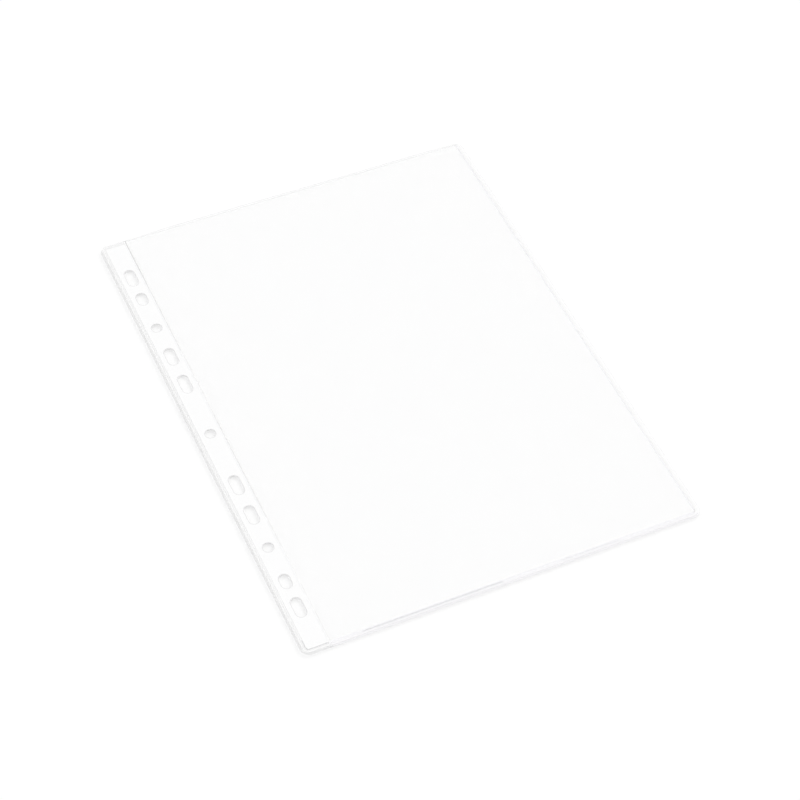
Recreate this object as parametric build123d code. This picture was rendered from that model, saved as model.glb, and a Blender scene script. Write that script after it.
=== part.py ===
from build123d import *
import os

# Clear punched pocket for A4 sheets, lying flat. Two films are welded together along the
# closed short edge and both long edges, with a white strip sealed in between them along the
# left one and holes punched through all three layers. The far short edge is the open mouth.
# A fused band parts the strip from the pocket, and the leaf flexes along it. X runs across
# from the strip, Y along it towards the mouth and Z up, from the middle of the underside.
# Millimetres.

# The sheet that the pocket takes, and the room left round it
sheet_width = 210.0
sheet_length = 297.0
side_play = 2.9
end_play = 4.4

# Layers: each film, and the white strip, which sets the space between the films
film = 0.10
strip_thickness = 0.42

# Seam that follows the outline inside its edge, pressed a little below both outer faces
weld_width = 0.9
weld_inset = 2.7
press_depth = 0.04
seam_corner_radius = 1.4

# White strip inside its seam, drawn back a little from the mouth, and the fused band between
# it and the pocket
strip_width = 11.7
strip_setback = 1.2
spine_weld_width = 1.2

# Punching: holes and slots of one width on a line along the strip, the same both ways from
# the middle, so that the common two, three and four ring binders all find a place
hole_width = 6.0
hole_line = 9.6
round_hole_offset = 82.5
slot_turn = 90.0
slots = (
    # distance from the middle, overall length
    (38.0, 13.4),
    (59.5, 12.7),
    (106.0, 9.3),
    (123.5, 12.7),
)

# Sizes that follow
thickness = 2 * film + strip_thickness
seam_reach = weld_inset + weld_width
corner_radius = seam_reach + seam_corner_radius
width = seam_reach + strip_width + spine_weld_width + sheet_width + side_play + seam_reach
length = seam_reach + sheet_length + end_play
left, right = -width / 2, width / 2
near, far = -length / 2, length / 2
strip_edge = left + seam_reach + strip_width
crease = strip_edge + spine_weld_width


def region(x_low, x_high, y_low=near, y_high=far):
    """A rectangle in plan between two X lines and two Y lines."""
    middle = Pos((x_low + x_high) / 2, (y_low + y_high) / 2)
    return middle * Rectangle(x_high - x_low, y_high - y_low)


def inset_outline(inset):
    """The outline drawn in by inset on the three closed sides and run out past the mouth."""
    y_low, y_high = near + inset, far + 2 * corner_radius
    middle = Pos(0, (y_low + y_high) / 2)
    return middle * RectangleRounded(width - 2 * inset, y_high - y_low, corner_radius - inset)


def punching():
    """Plan of every hole and slot on the hole line."""
    x = left + hole_line
    holes = [Pos(x, y) * Circle(hole_width / 2) for y in (-round_hole_offset, 0, round_hole_offset)]
    for offset, overall in slots:
        for y in (-offset, offset):
            holes.append(Pos(x, y) * SlotOverall(overall, hole_width, rotation=slot_turn))
    return Sketch() + holes


def layer(plan, z_low, z_high):
    """A flat plan given its thickness between two heights."""
    return extrude(Pos(0, 0, z_low) * plan, z_high - z_low)


def lower_film(plan, seam_plan):
    """A film on the underside, with the seam pressed up into it."""
    return layer(plan, 0, film) - layer(seam_plan, 0, press_depth)


def upper_film(plan, seam_plan):
    """A film on the upper side, with the seam pressed down into it."""
    sheet = layer(plan, thickness - film, thickness)
    return sheet - layer(seam_plan, thickness - press_depth, thickness)


def between_films(plan):
    """A piece that fills the space between the two films."""
    return layer(plan, film, film + strip_thickness)


# Plans of the whole outline, the seam inside it and the two sides of the fused band
outline = RectangleRounded(width, length, corner_radius)
seam = (inset_outline(weld_inset) - inset_outline(seam_reach)) & outline
strip_side = region(left, strip_edge)
pocket_side = region(crease, right)
corner_top = near + corner_radius
bottom_side = region(crease, right, near, corner_top)
right_side = region(crease, right, corner_top, far)

strip_plan = (outline & strip_side) - punching()
core_plan = inset_outline(seam_reach) & region(left, strip_edge, near, far - strip_setback) & strip_plan
pocket_plan = outline & pocket_side
strip_seam = seam & strip_side
pocket_seam = seam & pocket_side

parts = {
    "spine_strip": between_films(core_plan),
    "strip_cover_film": upper_film(strip_plan, strip_seam),
    "strip_backing_film": lower_film(strip_plan, strip_seam),
    "spine_edge_weld": between_films(strip_seam),
    "spine_weld": layer(region(strip_edge, crease), press_depth, thickness - press_depth),
    "front_film": upper_film(pocket_plan, pocket_seam),
    "back_film": lower_film(pocket_plan, pocket_seam),
    "bottom_weld": between_films(pocket_seam & bottom_side),
    "side_weld": between_films(pocket_seam & right_side),
}

os.makedirs("parts", exist_ok=True)
for name, solid in parts.items():
    export_step(solid, f"parts/{name}.step")
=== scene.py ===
import math

import bmesh
import bpy
from mathutils import Matrix, Vector


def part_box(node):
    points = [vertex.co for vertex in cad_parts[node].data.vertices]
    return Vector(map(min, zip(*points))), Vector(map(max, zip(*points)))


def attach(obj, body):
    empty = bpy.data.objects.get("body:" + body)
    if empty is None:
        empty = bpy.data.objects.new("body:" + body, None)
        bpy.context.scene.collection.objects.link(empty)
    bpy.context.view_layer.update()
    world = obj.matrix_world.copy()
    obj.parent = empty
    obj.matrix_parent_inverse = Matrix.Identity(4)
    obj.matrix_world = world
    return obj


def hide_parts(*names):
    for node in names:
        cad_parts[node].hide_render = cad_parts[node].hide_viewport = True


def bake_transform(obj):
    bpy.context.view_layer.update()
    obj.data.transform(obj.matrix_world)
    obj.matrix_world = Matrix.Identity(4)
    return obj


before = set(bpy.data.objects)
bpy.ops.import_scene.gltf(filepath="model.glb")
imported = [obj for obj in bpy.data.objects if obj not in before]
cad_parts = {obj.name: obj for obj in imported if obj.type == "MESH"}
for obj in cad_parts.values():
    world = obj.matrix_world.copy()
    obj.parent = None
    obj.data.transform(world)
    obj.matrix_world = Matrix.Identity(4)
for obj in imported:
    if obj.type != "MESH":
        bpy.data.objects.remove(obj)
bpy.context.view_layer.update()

# A clear punched pocket for A4 sheets, lying flat. Its films, seams and strip stand on the CAD's own
# lines, on a plain floor in soft light, seen by the photograph's camera. Metres.

MM = 0.001
CLEAR_LAYERS = 24

scene = bpy.context.scene
scene.view_settings.view_transform = "Standard"
scene.cycles.transparent_max_bounces = CLEAR_LAYERS

# Lines of the pocket, read off the CAD nodes, with its corner and the depth of its pressed seams
sheet_low, sheet_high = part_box("front_film")
seam_low, seam_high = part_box("side_weld")
back_low, back_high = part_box("back_film")
core_low, core_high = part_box("spine_strip")
band_low, band_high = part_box("spine_weld")
CREASE, RIGHT = sheet_low.x, sheet_high.x
NEAR, FAR = sheet_low.y, sheet_high.y
LEFT = -RIGHT
STRIP_EDGE = band_low.x
SEAM_IN = RIGHT - seam_high.x
SEAM_OUT = RIGHT - seam_low.x
SEAM_MIDDLE = (SEAM_IN + SEAM_OUT) / 2
CORNER = 5.0 * MM
FILM = back_high.z - back_low.z
FRONT_Z = sheet_low.z
PRESS = 0.04 * MM
PRESS_RUN = 0.12 * MM

# How far the front film stands off the back one, over what distance it comes to that, the share of it
# that is even, and low waves over it, each a share, its rates along X and Y and its phase
PUFF = 0.9 * MM
PUFF_RUN = 26 * MM
PUFF_EVEN = 0.85
PUFF_WAVES = ((0.10, 41, 13, 0.6), (0.07, -31, 23, 1.9))

# Runs of the films: the bend beside the crease, the lip of the mouth, the rim along the edges and a
# margin past the seam. The clearance is the room left between a film and what it lies on.
BEND_RUN = 8 * MM
LIP = 1.2 * MM
RIM = 0.9 * MM
PAST_SEAM = 0.6 * MM
CLEARANCE = 0.012 * MM

# Steps of the meshes, and the length over which they draw in to the rounded corners at the mouth
BEND_STEP = 0.5 * MM
FINE_STEP = 2 * MM
GRID_STEP = 5 * MM
CORNER_STEPS = 14
MOUTH_RUN = 12 * MM
POINTS_PER_METRE = 1e7
SAME_POINT = 0.001 * MM

# Fused seams: how far their faces draw back along both sides, and over what width
SEAM_ROUND = 0.05 * MM
SEAM_SIDE = 0.15 * MM

# A line of painted shade along the outer side of the bottom seam: half its width, the stretches along X
# where it is painted dark or a little dark, and the place from which the seam is a little dark round
# the corner
LINE_HALF = 0.24 * MM
SHADED_LINE_RUN = (-83 * MM, -4 * MM)
PALE_SHADED_LINE_RUN = (33 * MM, 68 * MM)
SHADED_CORNER_FROM = RIGHT - 4 * MM

# The groove in the fused band beside the strip: its section, where it runs out along Y, and where its
# painted shade is dark or faint. The band has one more line of points between the strip and the groove.
GROOVE_MIDDLE = CREASE - 0.32 * MM
GROOVE_HALF = 0.18 * MM
GROOVE_DEPTH = 0.14 * MM
GROOVE_STEPS = 3
GROOVE_NONE, GROOVE_FULL = -100 * MM, -66 * MM
GROOVE_END = (GROOVE_NONE + GROOVE_FULL) / 2
DARK_GROOVE_SHADE_AT = (116 * MM, FAR)
PALE_GROOVE_SHADE_AT = ((12 * MM, 62 * MM), (-90 * MM, -64 * MM))
BAND_LINE = STRIP_EDGE + 0.3 * MM

# A fine line in the seam round the strip: its place, half its width and how far down the side it runs.
# The rim and the lip are those of the films on the strip.
STRIP_LINE = SEAM_IN + 0.48 * MM
STRIP_LINE_HALF = 0.16 * MM
STRIP_LINE_END = -70 * MM
STRIP_LIP = 2.7 * MM
STRIP_RIM_RUN = 1.4 * MM

# Punched holes: their line, half their width, the width of the rim round each one, and half the width
# and length of the part of the strip that holds them all
HOLE_LINE = LEFT + 9.6 * MM
HOLE_HALF = 3.0 * MM
HOLE_RIM_RUN = 0.32 * MM
HOLES_SIDE = 4.5 * MM
HOLES_END = 135 * MM

# A face is a cut edge where less than this share of its normal lies along Z
EDGE_NORMAL = 0.5


# Materials

# Grain of the surfaces: the noise's scale and detail, the bump's strength, and its depth, which on
# clear plastic is less where the grain is finer
FILM_GRAIN = 900
SEAM_GRAIN = 2200
STRIP_GRAIN = 700
GRAIN_DETAIL = 4
CLEAR_BUMP = 0.1
CLEAR_BUMP_RATE = 0.027
STRIP_BUMP = 0.2
STRIP_BUMP_DEPTH = 0.04 * MM

# Gloss of polypropylene: its index, its reflection face on and how it grows at low angles
CLEAR_IOR = 1.49
FACE_ON = 0.04
SLANT_POWER = 5.0
EVEN_BLEND = 0.5
FILM_GLOSS = 0.6
CLEAR_ROUGHNESS = (0.06, 0.13)
STRIP_ROUGHNESS = (0.32, 0.48)

STRIP_LOW = (0.971, 0.971, 0.974, 1)
STRIP_HIGH = (0.992, 0.992, 0.992, 1)
LILAC = (1.0, 0.999, 1.007)


def new_material(name):
    material = bpy.data.materials.new(name)
    material.use_nodes = True
    material.node_tree.nodes.clear()
    return material, material.node_tree.nodes, material.node_tree.links


def grain(nodes, links, scale, strength, depth):
    """A fine uneven surface, and the noise it comes from."""
    where = nodes.new("ShaderNodeTexCoord")
    noise = nodes.new("ShaderNodeTexNoise")
    noise.inputs["Scale"].default_value = scale
    noise.inputs["Detail"].default_value = GRAIN_DETAIL
    links.new(where.outputs["Object"], noise.inputs["Vector"])
    bump = nodes.new("ShaderNodeBump")
    bump.inputs["Strength"].default_value = strength
    bump.inputs["Distance"].default_value = depth
    links.new(noise.outputs["Fac"], bump.inputs["Height"])
    return noise, bump


def ranged(nodes, links, source, low, high):
    """A value from 0 to 1 spread over a range."""
    spread = nodes.new("ShaderNodeMapRange")
    spread.inputs["To Min"].default_value = low
    spread.inputs["To Max"].default_value = high
    links.new(source, spread.inputs["Value"])
    return spread.outputs["Result"]


def maths(nodes, links, operation, *values):
    """One step of arithmetic on sockets and numbers."""
    step = nodes.new("ShaderNodeMath")
    step.operation = operation
    for socket, value in zip(step.inputs, values):
        if isinstance(value, (int, float)):
            socket.default_value = value
        else:
            links.new(value, socket)
    return step.outputs[0]


def clear_material(name, colour, tint, cover, gloss=FILM_GLOSS, blocks=0.0, grain_scale=FILM_GRAIN):
    """Clear plastic: what is behind shows through a tint, under a gloss that grows at low angles.
    cover is the share of its own colour that a surface shows face on, besides its gloss, and blocks
    is the share that it holds back of the light that falls through it on other things."""
    material, nodes, links = new_material(name)
    noise, bump = grain(nodes, links, grain_scale, CLEAR_BUMP, CLEAR_BUMP_RATE / grain_scale)
    body = nodes.new("ShaderNodeBsdfPrincipled")
    body.inputs["Base Color"].default_value = (*colour, 1)
    body.inputs["IOR"].default_value = CLEAR_IOR
    roughness = ranged(nodes, links, noise.outputs["Fac"], *CLEAR_ROUGHNESS)
    links.new(roughness, body.inputs["Roughness"])
    links.new(bump.outputs["Normal"], body.inputs["Normal"])
    through = nodes.new("ShaderNodeBsdfTransparent")
    through.inputs["Color"].default_value = (*tint, 1)
    facing = nodes.new("ShaderNodeLayerWeight")
    facing.inputs["Blend"].default_value = EVEN_BLEND
    slant = maths(nodes, links, "POWER", facing.outputs["Facing"], SLANT_POWER)
    seen = maths(nodes, links, "MULTIPLY_ADD", slant, (1 - FACE_ON) * gloss, FACE_ON * gloss + cover)
    path = nodes.new("ShaderNodeLightPath")
    lamp, bounce = path.outputs["Is Shadow Ray"], path.outputs["Is Diffuse Ray"]
    lit = maths(nodes, links, "MAXIMUM", lamp, bounce)
    rest = maths(nodes, links, "SUBTRACT", 1.0, lit)
    held = maths(nodes, links, "MULTIPLY", lit, blocks)
    amount = maths(nodes, links, "MULTIPLY_ADD", rest, seen, held)
    mix = nodes.new("ShaderNodeMixShader")
    links.new(amount, mix.inputs["Fac"])
    links.new(through.outputs["BSDF"], mix.inputs[1])
    links.new(body.outputs["BSDF"], mix.inputs[2])
    out = nodes.new("ShaderNodeOutputMaterial")
    links.new(mix.outputs["Shader"], out.inputs["Surface"])
    return material


def seam_material(name, colour, tint, cover, blocks):
    """Fused plastic: clear plastic with a finer grain."""
    return clear_material(name, colour, tint, cover, blocks=blocks, grain_scale=SEAM_GRAIN)


def white_material():
    """White polypropylene, calendered to a satin with a faint grain."""
    material, nodes, links = new_material("white_strip")
    noise, bump = grain(nodes, links, STRIP_GRAIN, STRIP_BUMP, STRIP_BUMP_DEPTH)
    body = nodes.new("ShaderNodeBsdfPrincipled")
    tone = nodes.new("ShaderNodeMix")
    tone.data_type = "RGBA"
    tone.inputs["A"].default_value = STRIP_LOW
    tone.inputs["B"].default_value = STRIP_HIGH
    links.new(noise.outputs["Fac"], tone.inputs["Factor"])
    links.new(tone.outputs["Result"], body.inputs["Base Color"])
    roughness = ranged(nodes, links, noise.outputs["Fac"], *STRIP_ROUGHNESS)
    links.new(roughness, body.inputs["Roughness"])
    links.new(bump.outputs["Normal"], body.inputs["Normal"])
    out = nodes.new("ShaderNodeOutputMaterial")
    links.new(body.outputs["BSDF"], out.inputs["Surface"])
    return material


def grey(value):
    return value, value, value


def cool(value):
    """A grey with a faint lilac cast."""
    return tuple(min(value * share, 1.0) for share in LILAC)


# Films of the pocket: open film, the rim along the bottom, dark as painted shade of the edge, and the
# margin along the bottom, the film over a seam, the rim and margin along the side, the lines of painted
# shade beside the pressed seam and the lip of the mouth
CLEAR = clear_material("clear_film", grey(0.97), grey(0.9952), cover=0.01)
# The rim's dark body darkens the floor under and beside the bottom edge: painted shade of the edge.
OUTER = clear_material("rim_film", cool(0.60), cool(0.998), cover=0.0, gloss=0.5, blocks=0.36)
HAZY = clear_material("hazy_margin_film", cool(0.98), cool(0.999), cover=0.20, gloss=0.7, blocks=0.08)
THIN = clear_material("thin_margin_film", grey(0.94), grey(0.994), cover=0.02, gloss=0.7, blocks=0.01)
SIDE = clear_material("side_margin_film", grey(0.96), grey(0.992), cover=0.015)
SIDE_RIM = clear_material("side_rim_film", grey(0.97), grey(0.998), cover=0.01)
# Painted shade of the pressed line's slope beside the bottom seam, dark in some stretches and paler in
# others.
SHADE_LINE_FILM = clear_material("shade_line_film", cool(0.70), cool(0.935), cover=0.12, blocks=0.03)
PALE_SHADE_LINE_FILM = clear_material("pale_shade_line_film", cool(0.82), cool(0.972), cover=0.06, blocks=0.02)
MOUTH = clear_material("mouth_lip_film", grey(0.93), grey(0.993), cover=0.03, gloss=0.7, blocks=0.03)

# Films on the strip: over the white, the rim, partly grey of itself and partly dark as painted shade of
# the edge, the margin, the lip at the mouth and the rims of holes, grey in part as painted shade
BONDED = clear_material("bonded_film", grey(0.97), grey(0.999), cover=0.01)
# The rim's grey tint and dark body: partly the edge bead's own grey, partly painted shade along and
# beside the edge.
STRIP_RIM = clear_material("strip_rim_film", grey(0.62), grey(0.987), cover=0.02, gloss=0.7, blocks=0.18)
STRIP_MARGIN = clear_material(
    "strip_margin_film", grey(0.99), grey(0.999), cover=0.20, gloss=0.7, blocks=0.02)
STRIP_END = clear_material("strip_end_film", grey(0.88), grey(0.986), cover=0.05, gloss=0.7, blocks=0.03)
# A grey ring round each hole: partly the film's own greying at the punched edge, partly painted shade
# round the hole.
HOLE_RIM = clear_material("hole_rim_film", grey(0.72), grey(0.92), cover=0.08, blocks=0.03)
# Cut edges tinted grey: painted shade for the light that a film's cut edge turns away.
EDGE = clear_material("cut_edge", grey(0.85), grey(0.98), cover=0.05, gloss=0.5, blocks=0.06)

# Seams: along the side and the bottom, round the strip, and the fused band with its groove, with painted
# shade in the groove and along the bottom seam's pressed line
SEAM = seam_material("fused_seam", cool(0.88), cool(0.981), cover=0.05, blocks=0.03)
LIGHT_SEAM = seam_material("light_fused_seam", cool(0.92), cool(0.993), cover=0.05, blocks=0.02)
# Painted shade of the pressed line on the bottom seam's outer side, in its darkest stretches.
SHADED_SEAM = seam_material("shaded_fused_seam", cool(0.60), cool(0.88), cover=0.20, blocks=0.06)
MILKY = seam_material("milky_fused_seam", grey(0.97), grey(0.995), cover=0.75, blocks=0.10)
FINE_LINE = seam_material("fine_seam_line", grey(0.89), grey(0.98), cover=0.75, blocks=0.10)
CORNER_LINE = seam_material("corner_seam_line", cool(0.50), cool(0.90), cover=0.75, blocks=0.10)
# Grey tints as painted shade in the groove and along the bottom seam's pressed line, darker or paler by
# stretch.
GROOVE_SHADE = seam_material("pressed_groove_shade", grey(0.78), grey(0.946), cover=0.12, blocks=0.05)
DARK_GROOVE_SHADE = seam_material("dark_groove_shade", grey(0.60), grey(0.89), cover=0.16, blocks=0.06)
PALE_GROOVE_SHADE = seam_material("pale_groove_shade", grey(0.88), grey(0.982), cover=0.06, blocks=0.03)
# The band's end at the bottom edge, dark like the rims beside it as painted shade of the edge.
BAND_RIM = clear_material("band_rim", grey(0.88), grey(0.943), cover=0.12, gloss=0.7, blocks=0.42)
BAND_MARGIN = clear_material("band_margin", cool(0.97), cool(0.993), cover=0.36, gloss=0.7, blocks=0.25)

WHITE = white_material()


# Plans and meshes

class Plan:
    """Faces in plan, with points that coincide made one and a look for each face."""

    def __init__(self):
        self.points = []
        self.faces = []
        self.looks = []
        self.known = {}

    def point(self, x, y):
        key = (round(x * POINTS_PER_METRE), round(y * POINTS_PER_METRE))
        if key not in self.known:
            self.known[key] = len(self.points)
            self.points.append((x, y))
        return self.known[key]

    def patch(self, rows, look_at):
        """Adds the faces between rows of places. look_at gives a face's look from its middle."""
        for lower, upper in zip(rows, rows[1:]):
            for i in range(len(lower) - 1):
                places = (lower[i], lower[i + 1], upper[i + 1], upper[i])
                corners = []
                for place in places:
                    index = self.point(*place)
                    if index not in corners:
                        corners.append(index)
                if len(corners) > 2:
                    x = sum(place[0] for place in places) / len(places)
                    y = sum(place[1] for place in places) / len(places)
                    self.faces.append(corners)
                    self.looks.append(look_at(x, y))


def add_piece(name, points, faces, looks, smooth_faces):
    """A mesh object with a look for each face, smooth or flat by face."""
    mesh = bpy.data.meshes.new(name)
    mesh.from_pydata(points, [], faces)
    slots = list(dict.fromkeys(looks))
    for look in slots:
        mesh.materials.append(look)
    mesh.polygons.foreach_set("material_index", [slots.index(look) for look in looks])
    mesh.polygons.foreach_set("use_smooth", smooth_faces)
    mesh.update()
    piece = bpy.data.objects.new(name, mesh)
    scene.collection.objects.link(piece)
    return piece


def thin_shell(name, plan, top, bottom, edge_look):
    """A closed sheet over a plan between two heights, with a look of its own on its cut edge."""
    count = len(plan.points)
    points = [(x, y, top(x, y)) for x, y in plan.points]
    points += [(x, y, bottom(x, y)) for x, y in plan.points]
    faces = [tuple(face) for face in plan.faces]
    faces += [tuple(i + count for i in reversed(face)) for face in plan.faces]
    looks = plan.looks + plan.looks
    smooth_faces = [True] * len(looks)
    sides = [(a, b) for face in plan.faces for a, b in zip(face, face[1:] + face[:1])]
    used = set(sides)
    for a, b in sides:
        if (b, a) not in used:
            faces.append((a + count, b + count, b, a))
            looks.append(edge_look)
            smooth_faces.append(False)
    return add_piece(name, points, faces, looks, smooth_faces)


def spaced(start, stop, step):
    """Even places from start to stop, about a step apart."""
    count = max(1, round((stop - start) / step))
    return [start + (stop - start) * i / count for i in range(count + 1)]


def smooth(t):
    """A soft rise from 0 to 1."""
    t = min(max(t, 0.0), 1.0)
    return t * t * (3 - 2 * t)


def within(value, stretch):
    return stretch[0] < value < stretch[1]


def inset_at(x, y):
    """How far a point lies inside the closed sides of the outline, the same left and right."""
    x = abs(x)
    cx, cy = RIGHT - CORNER, NEAR + CORNER
    if x > cx and y < cy:
        return CORNER - math.hypot(x - cx, y - cy)
    return min(RIGHT - x, y - NEAR)


def mouth_trim(x, y):
    """Draws points near the mouth in to the rounded outer corners."""
    over = abs(x) - (RIGHT - CORNER)
    base = FAR - MOUTH_RUN
    if over <= 0 or y <= base:
        return x, y
    limit = FAR - CORNER + math.sqrt(max(CORNER ** 2 - over ** 2, 0))
    return x, base + (y - base) * (limit - base) / (FAR - base)


# Rows of places that follow the outline at each inset, along its sides and round its corners

BEND_XS = spaced(CREASE, CREASE + BEND_RUN, BEND_STEP)
SHEET_XS = BEND_XS + spaced(CREASE + BEND_RUN, RIGHT - CORNER, GRID_STEP)[1:]
LONG_YS = spaced(NEAR + CORNER, FAR - MOUTH_RUN, GRID_STEP)
SHEET_YS = LONG_YS + spaced(FAR - MOUTH_RUN, FAR - LIP, FINE_STEP)[1:] + [FAR]
TURN = [math.radians(270 + 90 * i / CORNER_STEPS) for i in range(CORNER_STEPS + 1)]


def along_bottom(insets):
    return [[(x, NEAR + d) for x in SHEET_XS] for d in insets]


def round_corner(insets):
    cx, cy = RIGHT - CORNER, NEAR + CORNER
    radii = [CORNER - d for d in insets]
    return [[(cx + r * math.cos(a), cy + r * math.sin(a)) for a in TURN] for r in radii]


def up_right_side(insets):
    return [[mouth_trim(RIGHT - d, y) for y in SHEET_YS] for d in insets]


def down_left_side(insets):
    return [[mouth_trim(LEFT + d, y) for y in reversed(SHEET_YS)] for d in insets]


def left_corner(insets):
    cx, cy = LEFT + CORNER, NEAR + CORNER
    radii = [CORNER - d for d in insets]
    return [[(cx + r * math.sin(a), cy - r * math.cos(a)) for a in TURN] for r in radii]


def under_strip(insets):
    xs = spaced(LEFT + CORNER, STRIP_EDGE, FINE_STEP)
    return [[(x, NEAR + d) for x in xs] for d in insets]


# Films of the pocket

SHEET_INSETS = (
    0, RIM, 2 * RIM, SEAM_IN - LINE_HALF,
    SEAM_IN, SEAM_IN + PRESS_RUN, SEAM_MIDDLE, SEAM_OUT - PRESS_RUN, SEAM_OUT,
    SEAM_OUT + PAST_SEAM, CORNER)


def sheet_look(x, y):
    """The look of a pocket film at a point."""
    d = inset_at(x, y)
    if d < SEAM_IN:
        if y - NEAR > RIGHT - x:
            return SIDE_RIM if d < RIM else SIDE
        # A line of painted shade along the seam's outer side, dark in some stretches.
        on_line = d > SEAM_IN - LINE_HALF
        if on_line and within(x, SHADED_LINE_RUN):
            return SHADE_LINE_FILM
        if on_line and within(x, PALE_SHADED_LINE_RUN):
            return PALE_SHADE_LINE_FILM
        return OUTER if d < RIM else HAZY
    if d < SEAM_OUT:
        return THIN
    return MOUTH if FAR - y < LIP else CLEAR


def sheet_plan():
    """One film in plan: margin and seam follow the outline, and a grid fills the pocket."""
    plan = Plan()
    plan.patch(along_bottom(SHEET_INSETS), sheet_look)
    plan.patch(round_corner(SHEET_INSETS), sheet_look)
    plan.patch(up_right_side(SHEET_INSETS), sheet_look)
    plan.patch([[(x, y) for x in SHEET_XS] for y in SHEET_YS], sheet_look)
    return plan


def rise(x, y):
    """Height that the front film stands off its flat place, soft towards the seams and the crease."""
    inside = inset_at(x, y) - SEAM_OUT
    soft = smooth(inside / PUFF_RUN) * smooth((x - CREASE) / PUFF_RUN)
    wave = sum(share * math.sin(in_x * x + in_y * y + phase) for share, in_x, in_y, phase in PUFF_WAVES)
    return PUFF * soft * (PUFF_EVEN + wave)


def pressed(x, y):
    """Depth of the pressed line over the seam."""
    d = inset_at(x, y)
    return PRESS * smooth((d - SEAM_IN) / PRESS_RUN) * smooth((SEAM_OUT - d) / PRESS_RUN)


def crossing(piece, node):
    """Hides the CAD node that a piece of the pocket replaces, and bakes the piece's place into its mesh.
    """
    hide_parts(node)
    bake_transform(piece)


def on_strip(piece, node):
    """Makes a piece move with the strip."""
    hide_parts(node)
    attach(piece, "spine")


sheet = sheet_plan()
front = thin_shell(
    "front_sheet", sheet,
    lambda x, y: FRONT_Z + FILM + rise(x, y) - pressed(x, y),
    lambda x, y: FRONT_Z + rise(x, y),
    EDGE)
back = thin_shell("back_sheet", sheet, lambda x, y: FILM, pressed, EDGE)
crossing(front, "front_film")
crossing(back, "back_film")


# Fused seams between the films, a little rounded along both sides

SEAM_INSETS = (SEAM_IN, SEAM_IN + SEAM_SIDE, SEAM_IN + LINE_HALF, SEAM_OUT - SEAM_SIDE, SEAM_OUT)
STRIP_SEAM_INSETS = (
    SEAM_IN, SEAM_IN + SEAM_SIDE, STRIP_LINE - STRIP_LINE_HALF,
    STRIP_LINE + STRIP_LINE_HALF, SEAM_OUT - SEAM_SIDE, SEAM_OUT)


def eased(x, y):
    """How far a fused seam's face draws back near its sides."""
    d = inset_at(x, y)
    return SEAM_ROUND * (1 - smooth((d - SEAM_IN) / SEAM_SIDE) * smooth((SEAM_OUT - d) / SEAM_SIDE))


def seam_bar(name, patches, look_at, edge_look):
    """A seam over rows of places, between the two films."""
    plan = Plan()
    for rows in patches:
        plan.patch(rows, look_at)
    return thin_shell(
        name, plan,
        lambda x, y: FRONT_Z - CLEARANCE - eased(x, y),
        lambda x, y: FILM + CLEARANCE + eased(x, y),
        edge_look)


def bottom_seam_look(x, y):
    """The look of the bottom seam at a point, with the painted shade of its pressed line and corner."""
    # Painted shade of the pressed line, round the corner and along some stretches.
    if x > SHADED_CORNER_FROM:
        return GROOVE_SHADE
    if inset_at(x, y) > SEAM_IN + LINE_HALF:
        return LIGHT_SEAM
    if within(x, SHADED_LINE_RUN):
        return SHADED_SEAM
    return GROOVE_SHADE if within(x, PALE_SHADED_LINE_RUN) else LIGHT_SEAM


def strip_seam_look(x, y):
    """The look of the strip's seam at a point, with its fine line, darker round the corner."""
    if abs(inset_at(x, y) - STRIP_LINE) > STRIP_LINE_HALF:
        return MILKY
    if y < NEAR + 2 * CORNER:
        return CORNER_LINE
    return FINE_LINE if y > STRIP_LINE_END else MILKY


bottom_rows = (along_bottom(SEAM_INSETS), round_corner(SEAM_INSETS))
bottom = seam_bar("bottom_seam", bottom_rows, bottom_seam_look, LIGHT_SEAM)
crossing(bottom, "bottom_weld")

side = seam_bar("side_seam", (up_right_side(SEAM_INSETS),), lambda x, y: SEAM, SEAM)
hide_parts("side_weld")
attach(side, "pocket")

# The strip's seam goes down the left side, round the corner and along the bottom
strip_rows = (
    down_left_side(STRIP_SEAM_INSETS),
    left_corner(STRIP_SEAM_INSETS),
    under_strip(STRIP_SEAM_INSETS))
strip_seam = seam_bar("strip_edge_seam", strip_rows, strip_seam_look, MILKY)
on_strip(strip_seam, "spine_edge_weld")


# Fused band beside the strip, with a fine groove along its pocket side

def groove(x, y):
    """Depth of the groove, which runs out towards the bottom."""
    length_share = smooth((y - GROOVE_NONE) / (GROOVE_FULL - GROOVE_NONE))
    return GROOVE_DEPTH * length_share * (1 - smooth(abs(x - GROOVE_MIDDLE) / GROOVE_HALF))


def band_look(x, y):
    """The look of the band at a point: its end at the bottom edge, the groove and the rest."""
    if y - NEAR < SEAM_OUT:
        return BAND_RIM if y - NEAR < RIM else BAND_MARGIN
    if abs(x - GROOVE_MIDDLE) > GROOVE_HALF or y < GROOVE_END:
        return BONDED
    # Painted shade in the groove, darker in some stretches and fainter in others.
    if within(y, DARK_GROOVE_SHADE_AT):
        return DARK_GROOVE_SHADE
    faint = any(within(y, stretch) for stretch in PALE_GROOVE_SHADE_AT)
    return PALE_GROOVE_SHADE if faint else GROOVE_SHADE


groove_shares = [k / GROOVE_STEPS for k in range(-GROOVE_STEPS, GROOVE_STEPS + 1)]
groove_xs = [GROOVE_MIDDLE + GROOVE_HALF * share for share in groove_shares]
band_xs = [STRIP_EDGE, BAND_LINE] + groove_xs + [CREASE]
band_ys = [NEAR, NEAR + RIM] + spaced(NEAR + SEAM_OUT, FAR, GRID_STEP)
band = Plan()
band.patch([[(x, y) for x in band_xs] for y in band_ys], band_look)
spine_band = thin_shell(
    "spine_seam", band,
    lambda x, y: band_high.z - groove(x, y),
    lambda x, y: band_low.z + groove(x, y),
    EDGE)
on_strip(spine_band, "spine_weld")


# Films over and under the white strip, on the CAD's own outline and holes

CORE_MIDDLE = (core_low.z + core_high.z) / 2
OUTER_FACE = (core_high.z - core_low.z) / 2 + FILM - CLEARANCE


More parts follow.
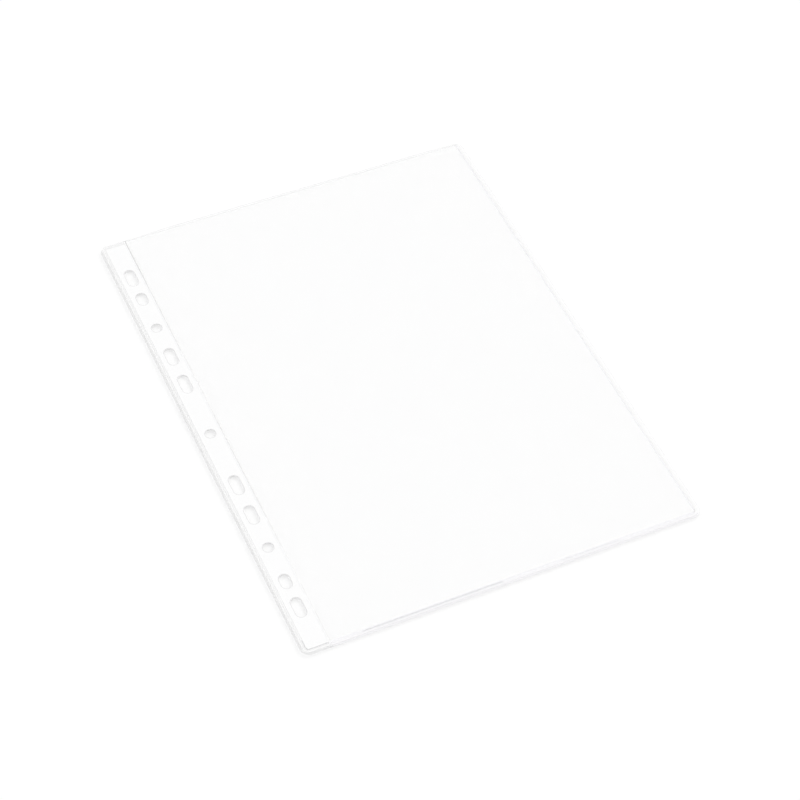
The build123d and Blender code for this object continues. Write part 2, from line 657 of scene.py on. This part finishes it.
def hole_rims(shell):
    """Divides a narrow rim round each hole off the outer face of a film, and gives its faces."""
    punched = []
    for face in shell.faces:
        middle = face.calc_center_median()
        outside = abs(middle.z - CORE_MIDDLE) > OUTER_FACE
        beside_line = abs(middle.x - HOLE_LINE) < HOLES_SIDE and abs(middle.y) < HOLES_END
        if outside and beside_line and abs(face.normal.z) > EDGE_NORMAL:
            punched.append(face)
    divided = bmesh.ops.inset_region(
        shell, faces=punched, thickness=HOLE_RIM_RUN, use_boundary=True, use_even_offset=True)
    rims = set()
    for face in divided["faces"]:
        middle = face.calc_center_median()
        at_side = abs(middle.x - HOLE_LINE) > HOLE_HALF + HOLE_RIM_RUN
        at_end = abs(middle.y) > HOLES_END - 2 * HOLE_RIM_RUN
        if not at_side and not at_end:
            rims.add(face)
    return rims


def strip_film_look(face, rims):
    """The look of a face of a film on the strip."""
    middle = face.calc_center_median()
    d = inset_at(middle.x, middle.y)
    if SEAM_IN - CLEARANCE < d < SEAM_OUT + CLEARANCE:
        return STRIP_MARGIN
    if abs(face.normal.z) < EDGE_NORMAL:
        return EDGE
    if d < SEAM_IN:
        return STRIP_RIM if d < STRIP_RIM_RUN else STRIP_MARGIN
    if face in rims:
        return HOLE_RIM
    return STRIP_END if middle.y > FAR - STRIP_LIP else BONDED


def strip_film(name, node):
    """The CAD film's faces made one shell, and cut along the lines where its look changes."""
    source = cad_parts[node].data
    shell = bmesh.new()
    corners = [shell.verts.new(v.co) for v in source.vertices]
    for polygon in source.polygons:
        shell.faces.new([corners[i] for i in polygon.vertices])
    bmesh.ops.remove_doubles(shell, verts=shell.verts, dist=SAME_POINT)
    for corner in shell.verts:
        if abs(corner.co.z - core_high.z) < CLEARANCE / 2:
            corner.co.z += CLEARANCE
        elif abs(corner.co.z - core_low.z) < CLEARANCE / 2:
            corner.co.z -= CLEARANCE
    edge_runs = (STRIP_RIM_RUN, SEAM_IN, SEAM_OUT)
    cuts = [((LEFT + d, 0, 0), (1, 0, 0)) for d in edge_runs]
    cuts += [((0, NEAR + d, 0), (0, 1, 0)) for d in edge_runs]
    cuts += [((HOLE_LINE + d, 0, 0), (1, 0, 0)) for d in (-HOLES_SIDE, HOLES_SIDE)]
    cuts += [((0, y, 0), (0, 1, 0)) for y in (-HOLES_END, HOLES_END, FAR - STRIP_LIP)]
    for place, across in cuts:
        everything = shell.verts[:] + shell.edges[:] + shell.faces[:]
        bmesh.ops.bisect_plane(
            shell, geom=everything, dist=SAME_POINT, plane_co=place, plane_no=across)
    shell.normal_update()
    rims = hole_rims(shell)
    shell.normal_update()
    shell.verts.index_update()
    points = [tuple(v.co) for v in shell.verts]
    faces = [[v.index for v in face.verts] for face in shell.faces]
    looks = [strip_film_look(face, rims) for face in shell.faces]
    shell.free()
    return add_piece(name, points, faces, looks, [False] * len(faces))


cover_film = strip_film("strip_cover_sheet", "strip_cover_film")
on_strip(cover_film, "strip_cover_film")
backing_film = strip_film("strip_backing_sheet", "strip_backing_film")
on_strip(backing_film, "strip_backing_film")

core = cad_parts["spine_strip"]
core.data.materials.clear()
core.data.materials.append(WHITE)


# Floor, a little under the pocket, for its soft shadow. The camera sees it white, with that shadow made
# fainter, and to all else it is plain and pale.

FLOOR_Z = -1.5 * MM
FLOOR_HALF = 4.0
FLOOR_TONE = 0.85
FLOOR_SHADE = 0.38
FLOOR_SEEN = 1.01


def seen_directly(nodes, links):
    """1 where the camera looks straight, by reflection or through clear pieces, and else 0."""
    path = nodes.new("ShaderNodeLightPath")
    camera_ray, glossy_ray = path.outputs["Is Camera Ray"], path.outputs["Is Glossy Ray"]
    first = maths(nodes, links, "MAXIMUM", camera_ray, glossy_ray)
    return maths(nodes, links, "MAXIMUM", first, path.outputs["Is Transmission Ray"])


def floor_material():
    material, nodes, links = new_material("floor_white")
    matt = nodes.new("ShaderNodeBsdfDiffuse")
    direct = seen_directly(nodes, links)
    links.new(ranged(nodes, links, direct, FLOOR_TONE, FLOOR_SHADE), matt.inputs["Color"])
    lift = nodes.new("ShaderNodeEmission")
    strength = maths(nodes, links, "MULTIPLY", direct, FLOOR_SEEN - FLOOR_SHADE)
    links.new(strength, lift.inputs["Strength"])
    both = nodes.new("ShaderNodeAddShader")
    links.new(matt.outputs["BSDF"], both.inputs[0])
    links.new(lift.outputs["Emission"], both.inputs[1])
    out = nodes.new("ShaderNodeOutputMaterial")
    links.new(both.outputs["Shader"], out.inputs["Surface"])
    return material


floor_mesh = bpy.data.meshes.new("floor")
floor_signs = ((-1, -1), (1, -1), (1, 1), (-1, 1))
floor_points = [(FLOOR_HALF * x, FLOOR_HALF * y, FLOOR_Z) for x, y in floor_signs]
floor_mesh.from_pydata(floor_points, [], [(0, 1, 2, 3)])
floor_mesh.materials.append(floor_material())
floor = bpy.data.objects.new("floor", floor_mesh)
scene.collection.objects.link(floor)


# Light: a soft even world, which the eye sees as white, and one broad key lamp

WORLD_LIGHT = 0.79
WORLD_SEEN = 1.0
KEY_LIGHT = 0.22
KEY_HEIGHT = math.radians(52)
KEY_SIDE = math.radians(86)
KEY_WIDTH = math.radians(32)

world = bpy.data.worlds.new("studio")
scene.world = world
world.use_nodes = True
nodes, links = world.node_tree.nodes, world.node_tree.links
nodes.clear()
sky = nodes.new("ShaderNodeBackground")
sky.inputs["Color"].default_value = (1, 1, 1, 1)
sky_light = ranged(nodes, links, seen_directly(nodes, links), WORLD_LIGHT, WORLD_SEEN)
links.new(sky_light, sky.inputs["Strength"])
out = nodes.new("ShaderNodeOutputWorld")
links.new(sky.outputs["Background"], out.inputs["Surface"])

key = bpy.data.objects.new("key", bpy.data.lights.new("key", "SUN"))
key.data.angle = KEY_WIDTH
key.data.energy = KEY_LIGHT * math.pi / math.sin(KEY_HEIGHT)
key_level = math.cos(KEY_HEIGHT)
key_from = Vector(
    (math.sin(KEY_SIDE) * key_level, math.cos(KEY_SIDE) * key_level, math.sin(KEY_HEIGHT)))
key.rotation_mode = "QUATERNION"
key.rotation_quaternion = key_from.to_track_quat("Z", "Y")
scene.collection.objects.link(key)


# Camera, fitted to the photograph's outline: its heading, dip and roll, its focal length in pixels of
# the picture, and the point that it looks at from a distance

CAMERA_TURN = math.radians(27.43)
CAMERA_DIP = math.radians(50.70)
CAMERA_ROLL = math.radians(3.81)
FOCAL_PIXELS = 2312
PICTURE_PIXELS = 800
SENSOR_WIDTH = 36
TARGET = Vector((-0.00121, -0.01770, 0))
DISTANCE = 1.282

level = math.cos(CAMERA_DIP)
look_way = Vector((math.sin(CAMERA_TURN) * level, math.cos(CAMERA_TURN) * level, -math.sin(CAMERA_DIP)))
level_right = Vector((math.cos(CAMERA_TURN), -math.sin(CAMERA_TURN), 0))
level_up = level_right.cross(look_way)
right_way = level_right * math.cos(CAMERA_ROLL) + level_up * math.sin(CAMERA_ROLL)
up_way = level_up * math.cos(CAMERA_ROLL) - level_right * math.sin(CAMERA_ROLL)
camera = bpy.data.objects.new("camera", bpy.data.cameras.new("camera"))
camera.data.sensor_width = SENSOR_WIDTH
camera.data.lens = FOCAL_PIXELS * SENSOR_WIDTH / PICTURE_PIXELS
camera_turned = Matrix((right_way, up_way, -look_way)).transposed().to_4x4()
camera.matrix_world = Matrix.Translation(TARGET - look_way * DISTANCE) @ camera_turned
scene.collection.objects.link(camera)
scene.camera = camera
